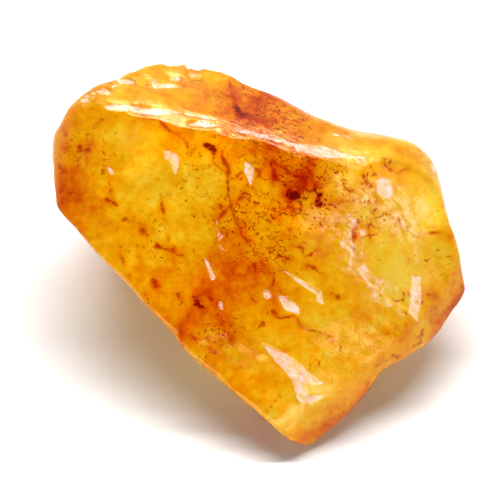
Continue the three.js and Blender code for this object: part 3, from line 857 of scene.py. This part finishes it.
# Pinkish haze, partly a painted reflection, paler and less clear.
haze_and_sheen = times(stored("hazy"), stepped(mottled, *EDGES["haze_and_sheen"]))
haze_and_sheen = sums("MULTIPLY", haze_and_sheen, COVERS["haze_and_sheen"], clamp=True)
body = blended(haze_and_sheen, body, HAZE_AND_SHEEN_PALE)

# Threads and cracks, specks, then the stained streaks and blots.
threads = times(stepped(sums("ABSOLUTE", thread), *EDGES["thread"]), stepped(crowd, *EDGES["thread_crowd"]))
threads = times(threads, stepped(grit, *EDGES["thread_gaps"]))
cracks = stepped(plus(stored("crack"), grit, FRAYS["crack"]), *EDGES["crack"])
body = blended(times(sums("MAXIMUM", threads, cracks), COVERS["thread"]), body, STAIN)
for specks in (dash, grit):
    share = stepped(plus(specks, crowd, FRAYS["speck"]), *EDGES["speck"])
    body = blended(times(share, COVERS["speck"]), body, SPECK)
clots = stepped(plus(fine, crowd, FRAYS["clot"]), *EDGES["clot"])
body = blended(times(clots, COVERS["clot"]), body, RUST)
ragged = plus(streak, fine, FRAYS["streak"])
body = blended(times(stepped(ragged, *EDGES["streak"]), COVERS["streak"]), body, STAIN)
clotted = plus(plus(blot, grit, FRAYS["blot_grit"]), fine, FRAYS["blot"])
body = blended(times(stepped(clotted, *EDGES["blot"]), COVERS["blot"]), body, DARK)

# Painted reflections and highlights: flakes, the ledge's bands and the rubbed ridges are painted pale, rougher and
# less clear.
flake = stepped(plus(stored("flake"), fine, FRAYS["flake"]), *EDGES["flake"])
flake = times(flake, plus(FLAKE_SHEEN_MOTTLE[0], mottled, FLAKE_SHEEN_MOTTLE[1], clamp=True))
band_sheen = times(stored("sheen_banded"), plus(BAND_SHEEN_MOTTLE[0], mottled, BAND_SHEEN_MOTTLE[1], clamp=True))
rubbed_and_glint = stored("rubbed_and_glint")
rub_and_glint = stepped(plus(rubbed_and_glint, hatch, FRAYS["rub_and_glint"]), *EDGES["rub_and_glint"])
frost_and_sheen = sums("MAXIMUM", sums("MAXIMUM", flake, band_sheen), times(rub_and_glint, COVERS["rub_and_glint"]))
body = blended(frost_and_sheen, body, FROST_AND_SHEEN_PALE)
plug(shader.inputs["Base Color"], body)
plug(shader.inputs["Roughness"], plus(plus(ROUGHNESS["base"], fine, ROUGHNESS["fine"]), frost_and_sheen, ROUGHNESS["frost_and_sheen"]))
plug(shader.inputs["Transmission Weight"], plus(CLEARNESS["base"], sums("MAXIMUM", frost_and_sheen, haze_and_sheen), CLEARNESS["frost_and_sheen"]))

# Fine unevenness everywhere, and wrinkles on what is painted pale and along the painted ridge highlights.
bump = tree.nodes.new("ShaderNodeBump")
for name, value in BUMP.items():
    bump.inputs[name].default_value = value
near_ridge = stepped(rubbed_and_glint, *EDGES["near_ridge"])
wrinkles = times(hatch, plus(frost_and_sheen, near_ridge, RIDGE_WRINKLES))
plug(bump.inputs["Height"], sums("ADD", wrinkles, fine))
plug(shader.inputs["Normal"], bump.outputs["Normal"])

for name, value in {
    "IOR": 1.77,
    "Specular IOR Level": 0.3,
    "Specular Tint": (1.0, 0.82, 0.58, 1),
    "Subsurface Weight": 0.1,
    "Subsurface Radius": (1.0, 0.4, 0.08),
    "Subsurface Scale": 0.002,
}.items():
    shader.inputs[name].default_value = value
absorb = tree.nodes.new("ShaderNodeVolumeAbsorption")
absorb.inputs["Color"].default_value = (1.0, 0.66, 0.02, 1)
absorb.inputs["Density"].default_value = 90
tree.links.new(absorb.outputs["Volume"], output.inputs["Volume"])

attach(stone, "root")
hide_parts("rough_sapphire")

# Floor, light and camera, in metres and watts.
FLOOR_HALF = 2
FLOOR_PAINT = {"Base Color": (0.82, 0.82, 0.82, 1), "Roughness": 1}
VIEW_ELEVATION = math.radians(55)
VIEW_DISTANCE = 0.4593
LENS = 300
SENSOR_WIDTH = 36
AIM = (-1.0, 0, 4)
# Each light: its elevation in degrees, counted from the front over the top, its distance, size and power.
LIGHTS = {
    "strip": (107, 0.6, (0.6, 0.022), 2.8),
    "overhead": (126, 0.8, (0.5, 0.2), 0.75),
    "fill": (8, 0.9, (1.2, 0.4), 5.4),
}
# The room is pale, and darker where the viewer stands, so the broad face keeps its colour.
ROOM = {"From Min": 0.2, "From Max": 0.85, "To Min": 0.75, "To Max": 0.02}

floor_mesh = bpy.data.meshes.new("floor")
floor_corners = [(x * FLOOR_HALF, y * FLOOR_HALF, 0) for x, y in ((-1, -1), (1, -1), (1, 1), (-1, 1))]
floor_mesh.from_pydata(floor_corners, [], [(0, 1, 2, 3)])
floor = bpy.data.objects.new("floor", floor_mesh)
bpy.context.scene.collection.objects.link(floor)
floor_paint = bpy.data.materials.new("floor")
floor_paint.use_nodes = True
for name, value in FLOOR_PAINT.items():
    floor_paint.node_tree.nodes["Principled BSDF"].inputs[name].default_value = value
floor_mesh.materials.append(floor_paint)

scene = bpy.context.scene
scene.view_settings.view_transform = "Standard"
scene.view_settings.look = "High Contrast"


def toward(elevation):
    """A direction from the stone, its elevation counted from the front over the top."""
    return Vector((0, -math.cos(elevation), math.sin(elevation)))


for name, (elevation, distance, size, power) in LIGHTS.items():
    light = bpy.data.lights.new(name, "AREA")
    light.shape = "RECTANGLE"
    light.size, light.size_y = size
    light.energy = power
    lamp = bpy.data.objects.new(name, light)
    lamp.location = toward(math.radians(elevation)) * distance
    lamp.rotation_euler = (-lamp.location).to_track_quat("-Z", "Y").to_euler()
    scene.collection.objects.link(lamp)

world = bpy.data.worlds.new("studio")
scene.world = world
world.use_nodes = True
air = world.node_tree
direction = air.nodes.new("ShaderNodeTexCoord").outputs["Generated"]
facing = air.nodes.new("ShaderNodeVectorMath")
facing.operation = "DOT_PRODUCT"
air.links.new(direction, facing.inputs[0])
facing.inputs[1].default_value = toward(VIEW_ELEVATION)
dim = air.nodes.new("ShaderNodeMapRange")
dim.interpolation_type = "SMOOTHSTEP"
for name, value in ROOM.items():
    dim.inputs[name].default_value = value
air.links.new(facing.outputs["Value"], dim.inputs["Value"])
air.links.new(dim.outputs["Result"], air.nodes["Background"].inputs["Strength"])
air.nodes["Background"].inputs["Color"].default_value = (1, 1, 1, 1)

aim = on_stone(*AIM)
camera_data = bpy.data.cameras.new("camera")
camera_data.lens = LENS
camera_data.sensor_width = SENSOR_WIDTH
camera = bpy.data.objects.new("camera", camera_data)
camera.location = aim + toward(VIEW_ELEVATION) * VIEW_DISTANCE
camera.rotation_euler = (aim - camera.location).to_track_quat("-Z", "Y").to_euler()
scene.collection.objects.link(camera)
scene.camera = camera
